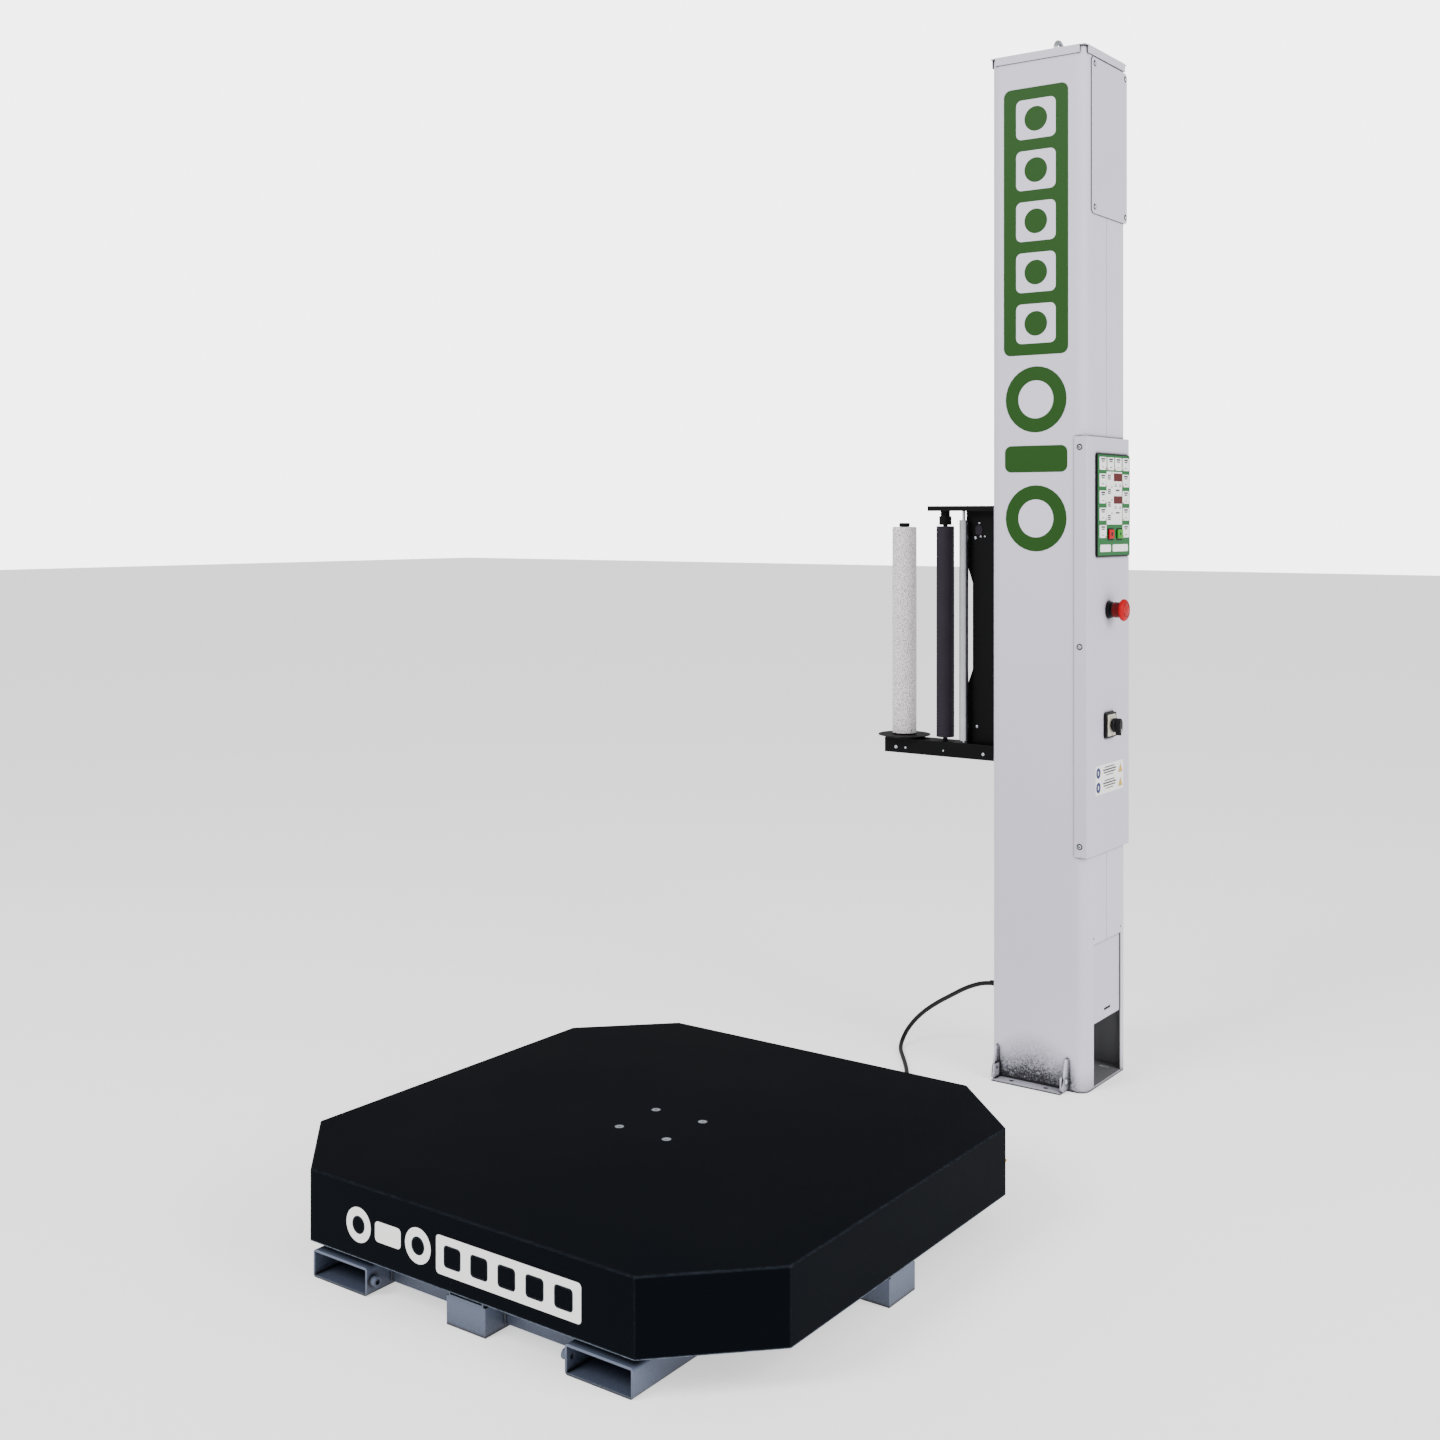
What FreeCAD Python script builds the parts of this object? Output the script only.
"""Turntable pallet wrapper: an octagonal turntable on fork tubes, and a mast with a film carriage.

Row frame, millimetres: +X along the graphic side of the turntable towards the control side of the mast,
+Y from the turntable to the mast, +Z up. The origin is at the centre of the whole object's base.
"""
import FreeCAD, Part
import Sketcher
import math
import operator
import os
from types import SimpleNamespace
from FreeCAD import Placement, Rotation, Vector

DOC = FreeCAD.newDocument("PalletWrapper")
SHEET = DOC.addObject("Spreadsheet::Sheet", "Sizes")

# Driving dimensions in millimetres: alias, value
DIMENSIONS = [
    # turntable deck
    ("deck_width", 1100), ("deck_chamfer", 175), ("deck_height", 195), ("skirt_gap", 15),
    ("deck_sheet", 4), ("fold_radius", 3), ("deck_bolt_square", 115), ("deck_bolt_radius", 5),
    ("rib_depth", 12), ("rib_thick", 6),
    # base frame
    ("fork_pitch", 600), ("fork_width", 140), ("fork_tube_height", 50), ("fork_wall", 4),
    ("fork_setback", 3), ("beam_width", 80), ("beam_height", 40), ("beam_wall", 3),
    ("foot_size", 90), ("foot_inset", 14), ("tie_size", 40), ("tie_lift", 8), ("tie_inset", 68),
    # hub
    ("hub_radius", 100), ("hub_plate", 12), ("hub_boss_radius", 58), ("bearing_outer", 45),
    ("bearing_bore", 25), ("bearing_width", 20), ("spindle_flange", 90), ("spindle_flange_thick", 10),
    ("running_gap", 0.05), ("rest_gap", 0.3),
    # support wheels
    ("wheel_radius", 40), ("wheel_width", 30), ("wheel_axle", 6), ("fork_cheek", 6),
    # table drive
    ("ring_radius", 150), ("ring_thick", 8), ("pinion_radius", 45), ("drive_x", -140), ("drive_y", 240),
    ("chain_thick", 9),
    # mast
    ("mast_offset_x", 237), ("mast_offset_y", 1300), ("mast_height", 2500), ("mast_size", 250),
    ("mast_sheet", 3), ("mast_corner", 26), ("slot_half", 40), ("slot_lip", 18), ("seam_gap", 1),
    ("base_thick", 6), ("anchor_square", 170), ("anchor_width", 14), ("anchor_length", 30),
    ("cap_lip", 20), ("cover_sheet", 2), ("cover_stand", 6), ("screw_head", 3), ("screw_radius", 5),
    ("tap_radius", 2.5),
    # controls
    ("control_low", 562), ("control_high", 1566), ("key_height", 1332), ("estop_height", 1148),
    ("switch_height", 868),
    # carriage and lift
    ("mandrel_x", -438), ("mandrel_radius", 31.5),
    ("mandrel_length", 548), ("disc_radius", 68), ("disc_thick", 6), ("arm_bottom", 758), ("arm_width", 60),
    ("arm_height", 38), ("arm_sheet", 3), ("carriage_height", 640), ("brake_x", -317), ("brake_radius", 23),
    ("idle_x", -255), ("idle_y", -16), ("idle_radius", 11.5), ("rail_y", 65), ("rail_depth", 30),
    ("rail_thick", 10), ("chain_in", 62), ("lift_pitch_radius", 35),
    # cable
    ("cable_radius", 5.5), ("gland_z", 190), ("table_gland_x", 115),
]


class Size:
    """A number kept with the sheet expression that gives it, so that sums stay bound to the sheet."""

    def __init__(self, number, text):
        self.number = float(number)
        self.text = text

    def __float__(self):
        return self.number

    def __add__(self, other):
        return combine(self, "+", other)

    def __radd__(self, other):
        return combine(other, "+", self)

    def __sub__(self, other):
        return combine(self, "-", other)

    def __rsub__(self, other):
        return combine(other, "-", self)

    def __mul__(self, other):
        return combine(self, "*", other)

    def __rmul__(self, other):
        return combine(other, "*", self)

    def __truediv__(self, other):
        return combine(self, "/", other)

    def __neg__(self):
        return combine(0, "-", self)


SIGNS = {"+": operator.add, "-": operator.sub, "*": operator.mul, "/": operator.truediv}


def combine(left, sign, right):
    """One sum or product of two sizes or numbers."""
    left, right = (item if isinstance(item, Size) else Size(item, repr(item)) for item in (left, right))
    return Size(SIGNS[sign](left.number, right.number), f"({left.text} {sign} {right.text})")


def fill_sheet():
    """Write the driving dimensions to the sheet, and return them as sizes."""
    sizes = {}
    for row, (alias, value) in enumerate(DIMENSIONS, start=1):
        SHEET.set(f"A{row}", alias)
        SHEET.set(f"B{row}", str(value))
        SHEET.setAlias(f"B{row}", alias)
        sizes[alias] = Size(value, f"Sizes.{alias}")
    DOC.recompute()
    return SimpleNamespace(**sizes)


S = fill_sheet()
NODES = []
SQRT2 = 1.41421356

# Places worked out from the driving dimensions
DECK_HALF = S.deck_width / 2
DECK_UNDER = S.deck_height - S.deck_sheet
SKIRT_BOTTOM = S.fork_tube_height + S.skirt_gap
SKIRT_DEPTH = S.deck_height - SKIRT_BOTTOM
SKIRT_REACH = DECK_HALF - S.deck_sheet
MAST_HALF = S.mast_size / 2
MAST_IN = MAST_HALF - S.mast_sheet
MAST_REACH = MAST_HALF + S.cover_sheet + S.screw_head
TABLE_Y = (DECK_HALF - S.mast_offset_y - MAST_REACH) / 2
MAST_X = S.mast_offset_x
MAST_Y = TABLE_Y + S.mast_offset_y
FORK_TOP = S.fork_tube_height
BEAM_TOP = FORK_TOP + S.beam_height
FACE_X = MAST_X + MAST_HALF
FACE_Y = MAST_Y - MAST_HALF
COVER_X = FACE_X + S.cover_stand
ARM_TOP = S.arm_bottom + S.arm_height


# ---- helpers -------------------------------------------------------------------------------------------

TURNS = {
    "Z": Rotation(),
    "X": Rotation(Vector(0, 1, 0), 90),
    "Y": Rotation(Vector(1, 0, 0), -90),
}


def bind(item, prop, value):
    """Set a property to a number, or bind it to the sheet."""
    if isinstance(value, Size):
        item.setExpression(prop, value.text)
    elif "." in prop:
        item.setExpression(prop, repr(float(value)))
    else:
        setattr(item, prop, value)


def place(item, x=0, y=0, z=0, turn=Rotation()):
    """Put an object at a bound place."""
    item.Placement = Placement(Vector(float(x), float(y), float(z)), turn)
    for axis, value in zip("xyz", (x, y, z)):
        if isinstance(value, Size):
            bind(item, f"Placement.Base.{axis}", value)
    return item


def box(name, x, y, z):
    """A block between a low and a high value along each axis."""
    item = DOC.addObject("Part::Box", name)
    for prop, (low, high) in zip(("Length", "Width", "Height"), (x, y, z)):
        bind(item, prop, high - low)
    return place(item, x[0], y[0], z[0])


def rod(name, axis, start, length, radius):
    """A cylinder that runs from its start along +axis."""
    item = DOC.addObject("Part::Cylinder", name)
    bind(item, "Radius", radius)
    bind(item, "Height", length)
    return place(item, *start, turn=TURNS[axis])


def cone(name, axis, start, length, first_radius, last_radius):
    """A cone that runs from its start along +axis."""
    item = DOC.addObject("Part::Cone", name)
    bind(item, "Radius1", first_radius)
    bind(item, "Radius2", last_radius)
    bind(item, "Height", length)
    return place(item, *start, turn=TURNS[axis])


def joined(name, items):
    """Fuse touching or overlapping objects."""
    item = DOC.addObject("Part::MultiFuse", name)
    item.Shapes = items
    item.Refine = True
    return item


def grouped(name, items):
    """Keep separate solids together in one object."""
    item = DOC.addObject("Part::Compound", name)
    item.Links = items
    return item


def cut(name, base, *tools):
    """Cut one or more tools out of a base."""
    item = DOC.addObject("Part::Cut", name)
    item.Base = base
    item.Tool = tools[0] if len(tools) == 1 else joined(name + "_tools", list(tools))
    return item


def node(item):
    """Keep an object as a sub-part that is written out."""
    NODES.append(item)
    return item


def sketch_on(body, plane, name):
    """A sketch on one of the body's own origin planes."""
    sketch = body.newObject("Sketcher::SketchObject", name)
    support = [item for item in body.Origin.OriginFeatures if item.Role == plane + "_Plane"][0]
    sketch.AttachmentSupport = (support, [""])
    sketch.MapMode = "FlatFace"
    return sketch


def fix_point(sketch, edge, end, x, y):
    """Hold one sketch point at bound coordinates."""
    for kind, value in (("DistanceX", x), ("DistanceY", y)):
        index = sketch.addConstraint(Sketcher.Constraint(kind, edge, end, float(value)))
        if isinstance(value, Size):
            sketch.setExpression(f"Constraints[{index}]", value.text)


def add_outline(sketch, points):
    """A closed outline with each corner held at its place."""
    first = sketch.GeometryCount
    count = len(points)
    for start, end in zip(points, points[1:] + points[:1]):
        ends = [Vector(float(x), float(y), 0) for x, y in (start, end)]
        sketch.addGeometry(Part.LineSegment(*ends))
    for index in range(count):
        following = first + (index + 1) % count
        sketch.addConstraint(Sketcher.Constraint("Coincident", first + index, 2, following, 1))
    for index, (x, y) in enumerate(points):
        fix_point(sketch, first + index, 1, x, y)


def add_circle(sketch, x, y, radius):
    """A round hole with its centre and radius held."""
    circle = Part.Circle(Vector(float(x), float(y), 0), Vector(0, 0, 1), float(radius))
    edge = sketch.addGeometry(circle)
    fix_point(sketch, edge, 3, x, y)
    index = sketch.addConstraint(Sketcher.Constraint("Radius", edge, float(radius)))
    if isinstance(radius, Size):
        sketch.setExpression(f"Constraints[{index}]", radius.text)


def plate(name, plane, outline, start, thickness, holes=()):
    """A flat piece: an outline with round holes, drawn on a plane and padded towards + from its start."""
    body = DOC.addObject("PartDesign::Body", name)
    sketch = sketch_on(body, plane, name + "_sketch")
    add_outline(sketch, outline)
    for x, y, radius in holes:
        add_circle(sketch, x, y, radius)
    pad = body.newObject("PartDesign::Pad", name + "_pad")
    pad.Profile = sketch
    bind(pad, "Length", thickness)
    pad.Reversed = plane == "XZ"
    places = {"XY": (0, 0, start), "XZ": (0, start, 0), "YZ": (start, 0, 0)}
    return place(body, *places[plane])


def pocket(body, name, plane, outline, start, depth, holes=()):
    """A recess cut from a level along the plane's normal towards +, in the body's own frame."""
    sketch = sketch_on(body, plane, name + "_sketch")
    if outline:
        add_outline(sketch, outline)
    for x, y, radius in holes:
        add_circle(sketch, x, y, radius)
    bind(sketch, "AttachmentOffset.Base.z", start)
    DOC.recompute()
    before = body.Shape.Volume
    feature = body.newObject("PartDesign::Pocket", name)
    feature.Profile = sketch
    bind(feature, "Length", depth)
    feature.Reversed = True
    DOC.recompute()
    if body.Shape.Volume >= before:
        raise RuntimeError(f"{name} removes nothing")
    return feature


def rounded(body, name, wanted, radius):
    """Round the edges of a body for which a test on the edge's two ends holds."""
    DOC.recompute()
    base = body.Tip
    picked = []
    for index, edge in enumerate(base.Shape.Edges, start=1):
        ends = [vertex.Point for vertex in edge.Vertexes]
        if len(ends) == 2 and wanted(*ends):
            picked.append(f"Edge{index}")
    fillet = body.newObject("PartDesign::Fillet", name)
    fillet.Base = (base, picked)
    bind(fillet, "Radius", radius)
    return fillet


def turned(name, axis, start, profile):
    """A turned piece: a profile of (radius, distance) points turned about the axis through its start."""
    body = DOC.addObject("PartDesign::Body", name)
    sketch = sketch_on(body, "XZ", name + "_sketch")
    add_outline(sketch, profile)
    revolution = body.newObject("PartDesign::Revolution", name + "_turn")
    revolution.Profile = sketch
    revolution.ReferenceAxis = (sketch, ["V_Axis"])
    revolution.Angle = 360
    return place(body, *start, turn=TURNS[axis])


def block_outline(x, y):
    """The four corners of a rectangle between low and high values."""
    return [(x[0], y[0]), (x[1], y[0]), (x[1], y[1]), (x[0], y[1])]


def same(first, second, tolerance=0.01):
    """Two coordinates that are equal for picking edges."""
    return abs(first - float(second)) < tolerance


def hex_outline(x, y, flats):
    """The corners of a hexagon with a given width across flats."""
    reach = flats / math.sqrt(3)
    return [(x + reach * math.cos(math.radians(60 * k)), y + reach * math.sin(math.radians(60 * k)))
            for k in range(6)]


def screw(name, axis, seat, sign, head_radius, head_height, shank_radius, shank_length):
    """A button-head screw: the head stands on the seat, and the shank goes in behind it."""
    offsets = {"X": (1, 0, 0), "Y": (0, 1, 0), "Z": (0, 0, 1)}[axis]
    head_shift = 0 if sign > 0 else -head_height
    shank_shift = -shank_length if sign > 0 else 0
    head_start = [value + head_shift * step for value, step in zip(seat, offsets)]
    shank_start = [value + shank_shift * step for value, step in zip(seat, offsets)]
    head = rod(name + "_head", axis, head_start, head_height, head_radius)
    shank = rod(name + "_shank", axis, shank_start, shank_length, shank_radius)
    return joined(name, [head, shank])


def shaped(name, shape):
    """A piece whose shape is worked out with Part's own functions."""
    item = DOC.addObject("Part::Feature", name)
    item.Shape = shape
    return item


# ---- turntable: base frame -----------------------------------------------------------------------------

FORK_FRONT = TABLE_Y - DECK_HALF + S.fork_setback
FORK_BACK = TABLE_Y + DECK_HALF - S.fork_setback
FOOT_OUT = DECK_HALF - S.foot_inset
TIE_Y = TABLE_Y + FOOT_OUT - S.tie_inset
LOCK_RADIUS = 9
LOCK_REACH = 14


def fork_tube(name, side):
    """A fork tube: open at both ends, with the lug for the fork's locking pin on its inner side."""
    centre = S.fork_pitch / 2 * side
    x = (centre - S.fork_width / 2, centre + S.fork_width / 2)
    outer = plate(name + "_outer", "XZ", block_outline(x, (0, FORK_TOP)), FORK_FRONT, FORK_BACK - FORK_FRONT)
    rounded(outer, name + "_corners", lambda a, b: not same(a.y, b.y), 6)
    wall = S.fork_wall
    room = block_outline((x[0] + wall, x[1] - wall), (wall, FORK_TOP - wall))
    inner = plate(name + "_inner", "XZ", room, FORK_FRONT - 5, FORK_BACK - FORK_FRONT + 10)
    hollow = cut(name + "_tube", outer, inner)
    lug_y = FORK_FRONT + 14
    lug_x = centre - (S.fork_width / 2 - 1) * side
    lug_start = lug_x - LOCK_REACH if side > 0 else lug_x
    lug = rod(name + "_lug", "X", (lug_start, lug_y, FORK_TOP / 2), LOCK_REACH, LOCK_RADIUS)
    bore = rod(name + "_bore", "X", (lug_start - 10, lug_y, FORK_TOP / 2), LOCK_REACH + 20, 5)
    return node(cut(name, joined(name + "_with_lug", [hollow, lug]), bore))


def hollow_beam(name, x, y, z, along):
    """A rectangular tube that runs along X or Y."""
    wall = S.beam_wall
    outer = box(name + "_outer", x, y, z)
    inner_z = (z[0] + wall, z[1] - wall)
    if along == "X":
        inner = box(name + "_inner", (x[0] - 1, x[1] + 1), (y[0] + wall, y[1] - wall), inner_z)
    else:
        inner = box(name + "_inner", (x[0] + wall, x[1] - wall), (y[0] - 1, y[1] + 1), inner_z)
    return cut(name, outer, inner)


def base_beams():
    """The cross of upper beams, the low ties between the fork tubes, and the drive's mounting plate."""
    half = S.beam_width / 2
    level = (FORK_TOP, BEAM_TOP)
    items = [hollow_beam("beam_x", (-FOOT_OUT, FOOT_OUT), (TABLE_Y - half, TABLE_Y + half), level, "X")]
    spans = (("front", TABLE_Y - FOOT_OUT, TABLE_Y - half), ("back", TABLE_Y + half, TABLE_Y + FOOT_OUT))
    for name, low, high in spans:
        items.append(hollow_beam("beam_" + name, (-half, half), (low, high), level, "Y"))
    tie_z = (S.tie_lift, S.tie_lift + S.tie_size)
    inner = S.fork_pitch / 2 - S.fork_width / 2
    foot = S.foot_size / 2
    for end, centre in (("front", TABLE_Y - FOOT_OUT + S.tie_inset), ("back", TIE_Y)):
        y = (centre - S.tie_size / 2, centre + S.tie_size / 2)
        items.append(hollow_beam(f"tie_{end}_left", (-inner, -foot), y, tie_z, "X"))
        items.append(hollow_beam(f"tie_{end}_right", (foot, inner), y, tie_z, "X"))
    plate_y = (TABLE_Y + S.drive_y - 80, TABLE_Y + S.drive_y + 80)
    items.append(box("drive_plate", (-inner - 30, -half), plate_y, (FORK_TOP, FORK_TOP + 6)))
    return node(grouped("base_beams", items))


def support_feet():
    """Four short square tubes that stand under the ends of the upper beams."""
    foot = S.foot_size
    wall = S.beam_wall
    items = []
    for name, x_side, y_side in (("front", 0, -1), ("right", 1, 0), ("back", 0, 1), ("left", -1, 0)):
        centre_x = (FOOT_OUT - foot / 2) * x_side
        centre_y = TABLE_Y + (FOOT_OUT - foot / 2) * y_side
        x = (centre_x - foot / 2, centre_x + foot / 2)
        y = (centre_y - foot / 2, centre_y + foot / 2)
        outer = box(f"foot_{name}_outer", x, y, (0, FORK_TOP))
        inner_x = (x[0] + wall, x[1] - wall)
        inner_y = (y[0] + wall, y[1] - wall)
        inner = box(f"foot_{name}_inner", inner_x, inner_y, (wall, FORK_TOP + 1))
        items.append(cut(f"foot_{name}", outer, inner))
    return node(grouped("support_feet", items))


# ---- turntable: centre pivot ---------------------------------------------------------------------------

HUB_UNDER = DECK_UNDER - S.hub_plate
BOLT_HEAD_RADIUS = S.deck_bolt_radius * 1.75
BOLT_SINK = 0.2
BOLT_SLACK = 0.2
BEARING_BASE = BEAM_TOP + S.spindle_flange_thick + 14
BEARING_TOP = BEARING_BASE + S.bearing_width


def pivot_spindle():
    """The fixed pivot: a flange on the beams, a shoulder under the bearing and the journal inside it."""
    flange = S.spindle_flange_thick
    shoulder = S.bearing_bore + 6
    profile = [
        (0, 0), (S.spindle_flange, 0), (S.spindle_flange, flange), (shoulder, flange),
        (shoulder, flange + 14), (S.bearing_bore, flange + 14),
        (S.bearing_bore, flange + 14 + S.bearing_width), (S.bearing_bore - 3, flange + 16 + S.bearing_width),
        (0, flange + 16 + S.bearing_width),
    ]
    return node(turned("pivot_spindle", "Z", (0, TABLE_Y, BEAM_TOP), profile))


def pivot_bearing():
    """The ball bearing on the journal, drawn as one ring."""
    profile = block_outline((S.bearing_bore, S.bearing_outer), (0, S.bearing_width))
    return node(turned("pivot_bearing", "Z", (0, TABLE_Y, BEARING_BASE), profile))


def hub_flange():
    """The turning hub: a boss round the bearing and a flange bolted under the deck."""
    socket = S.bearing_outer + S.running_gap
    ledge = BEARING_TOP + S.rest_gap - BEARING_BASE
    height = DECK_UNDER - BEARING_BASE
    under = HUB_UNDER - BEARING_BASE
    profile = [
        (socket, 0), (S.hub_boss_radius, 0), (S.hub_boss_radius, under), (S.hub_radius, under),
        (S.hub_radius, height), (S.bearing_bore + 8, height), (S.bearing_bore + 8, ledge), (socket, ledge),
    ]
    hub = turned("hub_blank", "Z", (0, TABLE_Y, BEARING_BASE), profile)
    return node(cut("hub_flange", hub, *bolt_holes("hub_hole", HUB_UNDER - 1, DECK_UNDER + 1)))


def bolt_places():
    """The four corners of the deck's bolt square."""
    half = S.deck_bolt_square / 2
    return [(half * x, TABLE_Y + half * y) for x, y in ((-1, -1), (1, -1), (1, 1), (-1, 1))]


def bolt_holes(name, low, high):
    """Clearance holes on the deck's bolt square."""
    return [rod(f"{name}_{k}", "Z", (x, y, low), high - low, S.deck_bolt_radius + BOLT_SLACK)
            for k, (x, y) in enumerate(bolt_places())]


def deck_bolts():
    """Four countersunk bolts with a hexagon socket that hold the deck to the hub."""
    items = []
    radius = S.deck_bolt_radius
    top = S.deck_height - BOLT_SINK
    for k, (x, y) in enumerate(bolt_places()):
        head = cone(f"bolt_head_{k}", "Z", (x, y, DECK_UNDER), top - DECK_UNDER, radius, BOLT_HEAD_RADIUS)
        shank = rod(f"bolt_shank_{k}", "Z", (x, y, HUB_UNDER), DECK_UNDER - HUB_UNDER, radius)
        key = plate(f"bolt_key_{k}", "XY", hex_outline(x, y, 6), top - 3, 5)
        items.append(cut(f"deck_bolt_{k}", joined(f"bolt_body_{k}", [head, shank]), key))
    return node(grouped("deck_bolts", items))


def bolt_seats():
    """The countersunk holes in the deck's sheet."""
    return [cone(f"bolt_seat_{k}", "Z", (x, y, DECK_UNDER), S.deck_sheet, S.deck_bolt_radius + BOLT_SLACK,
                 BOLT_HEAD_RADIUS + BOLT_SLACK)
            for k, (x, y) in enumerate(bolt_places())]


# ---- turntable: deck -----------------------------------------------------------------------------------

def octagon(half, straight):
    """The corners of a square with cut-off corners, about the table's axis."""
    corners = [(-straight, -half), (straight, -half), (half, -straight), (half, straight),
               (straight, half), (-straight, half), (-half, straight), (-half, -straight)]
    return [(x, TABLE_Y + y) for x, y in corners]


def deck():
    """The folded deck: an octagonal pan turned over, with ribs welded under its top sheet."""
    straight = DECK_HALF - S.deck_chamfer
    body = plate("deck_pan", "XY", octagon(DECK_HALF, straight), SKIRT_BOTTOM, SKIRT_DEPTH)
    inner_straight = straight - S.deck_sheet * (SQRT2 - 1)
    room = octagon(SKIRT_REACH, inner_straight)
    pocket(body, "deck_room", "XY", room, 0, SKIRT_DEPTH - S.deck_sheet)
    reach = float(DECK_HALF) - 0.01
    top = float(SKIRT_DEPTH)
    diagonal = float(DECK_HALF + straight) / SQRT2 - 0.01
    middle = float(TABLE_Y)

    def on_skirt(point):
        x, y = abs(point.x), abs(point.y - middle)
        return x > reach or y > reach or (x + y) / SQRT2 > diagonal

    def outside(a, b):
        standing = not same(a.z, b.z)
        return on_skirt(a) and on_skirt(b) and (standing or (same(a.z, top) and same(b.z, top)))

    rounded(body, "deck_folds", outside, S.fold_radius)
    holed = cut("deck_sheet_metal", body, *bolt_seats())
    ribs = [holed]
    low = DECK_UNDER - S.rib_depth
    start = S.hub_radius + 12
    for k, (x_side, y_side) in enumerate(((1, 0), (-1, 0), (0, 1), (0, -1))):
        half = S.rib_thick / 2
        if x_side:
            x = (start, SKIRT_REACH) if x_side > 0 else (-SKIRT_REACH, -start)
            y = (TABLE_Y - half, TABLE_Y + half)
        else:
            x = (-half, half)
            y = (TABLE_Y + start, TABLE_Y + SKIRT_REACH)
            if y_side < 0:
                y = (TABLE_Y - SKIRT_REACH, TABLE_Y - start)
        ribs.append(box(f"rib_{k}", x, y, (low, DECK_UNDER)))
    return node(joined("deck", ribs))


# ---- turntable: support wheels -------------------------------------------------------------------------

WHEEL_Z = DECK_UNDER - S.rest_gap - S.wheel_radius
WHEEL_PLACE = S.fork_pitch / 2
WHEEL_CORNERS = [(1, 1), (-1, 1), (-1, -1), (1, -1)]
CHEEK_IN = S.wheel_width / 2 + 2


def wheel_turn(x_side, y_side):
    """The turn that puts a wheel's own +Z on the outward radius through its corner."""
    return Rotation(Vector(0, 0, 1), Vector(x_side, y_side, 0))


def bracket_turn(x_side, y_side):
    """The turn about +Z that puts a bracket's own +X on the outward radius through its corner."""
    return Rotation(Vector(0, 0, 1), math.degrees(math.atan2(y_side, x_side)))


def at_corner(item, x_side, y_side, z, turn):
    """Put an object at a wheel's corner of the table."""
    return place(item, WHEEL_PLACE * x_side, TABLE_Y + WHEEL_PLACE * y_side, z, turn)


def support_wheel(number, x_side, y_side):
    """A nylon wheel with slim hubs that run between the fork's cheeks."""
    half = S.wheel_width / 2
    bore = S.wheel_axle + S.running_gap
    hub = CHEEK_IN - S.rest_gap
    profile = [
        (bore, -hub), (bore + 7, -hub), (bore + 7, -half), (S.wheel_radius - 2, -half),
        (S.wheel_radius, -half + 2), (S.wheel_radius, half - 2), (S.wheel_radius - 2, half),
        (bore + 7, half), (bore + 7, hub), (bore, hub),
    ]
    wheel = turned(f"support_wheel_{number}", "Z", (0, 0, 0), profile)
    return node(at_corner(wheel, x_side, y_side, WHEEL_Z, wheel_turn(x_side, y_side)))


def wheel_forks():
    """A welded fork on the fork tube for each support wheel."""
    items = []
    rise = WHEEL_Z - FORK_TOP
    for k, (x_side, y_side) in enumerate(WHEEL_CORNERS):
        out = CHEEK_IN + S.fork_cheek
        cheeks = []
        for sign in (-1, 1):
            low = CHEEK_IN if sign > 0 else -out
            cheek = box(f"cheek_{k}_{sign + 1}", (low, low + S.fork_cheek), (-22, 22), (0, rise + 14))
            cheeks.append(cheek)
        foot = box(f"fork_foot_{k}", (-out, out), (-22, 22), (0, 6))
        fork = joined(f"fork_blank_{k}", cheeks + [foot])
        bore = rod(f"fork_bore_{k}", "X", (-out - 1, 0, rise), out * 2 + 2, S.wheel_axle + S.running_gap)
        part = cut(f"wheel_fork_{k}", fork, bore)
        items.append(at_corner(part, x_side, y_side, FORK_TOP, bracket_turn(x_side, y_side)))
    return node(grouped("wheel_forks", items))


def wheel_axles():
    """A plain axle through each fork."""
    items = []
    out = CHEEK_IN + S.fork_cheek
    for k, (x_side, y_side) in enumerate(WHEEL_CORNERS):
        axle = rod(f"wheel_axle_{k}", "Z", (0, 0, 0), out * 2 + 8, S.wheel_axle)
        shifted = grouped(f"wheel_axle_part_{k}", [place(axle, 0, 0, -out - 4)])
        items.append(at_corner(shifted, x_side, y_side, WHEEL_Z, wheel_turn(x_side, y_side)))
    return node(grouped("wheel_axles", items))


# ---- turntable: drive ----------------------------------------------------------------------------------

RING_BASE = HUB_UNDER - S.ring_thick
DRIVE_Y = TABLE_Y + S.drive_y


def toothed(name, centre, base, radius, thick, teeth, bore, axis="Z"):
    """A chain wheel: a disc with trapezoid teeth inside its outer radius."""
    points = []
    root = float(radius) - 6
    for k in range(teeth):
        for share, reach in ((0.0, root), (0.3, root), (0.5, float(radius)), (0.8, float(radius))):
            angle = 2 * math.pi * (k + share) / teeth
            points.append(Vector(reach * math.cos(angle), reach * math.sin(angle), 0))
    face = Part.Face(Part.makePolygon(points + points[:1]))
    wheel = face.extrude(Vector(0, 0, float(thick)))
    wheel = wheel.cut(Part.makeCylinder(float(bore), float(thick) + 2, Vector(0, 0, -1)))
    return place(shaped(name, wheel), centre[0], centre[1], base, TURNS[axis])


def table_chain_ring():
    """The large chain wheel bolted under the hub."""
    bore = S.hub_boss_radius
    return node(toothed("table_chain_ring", (0, TABLE_Y), RING_BASE, S.ring_radius, S.ring_thick, 60, bore))


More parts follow.
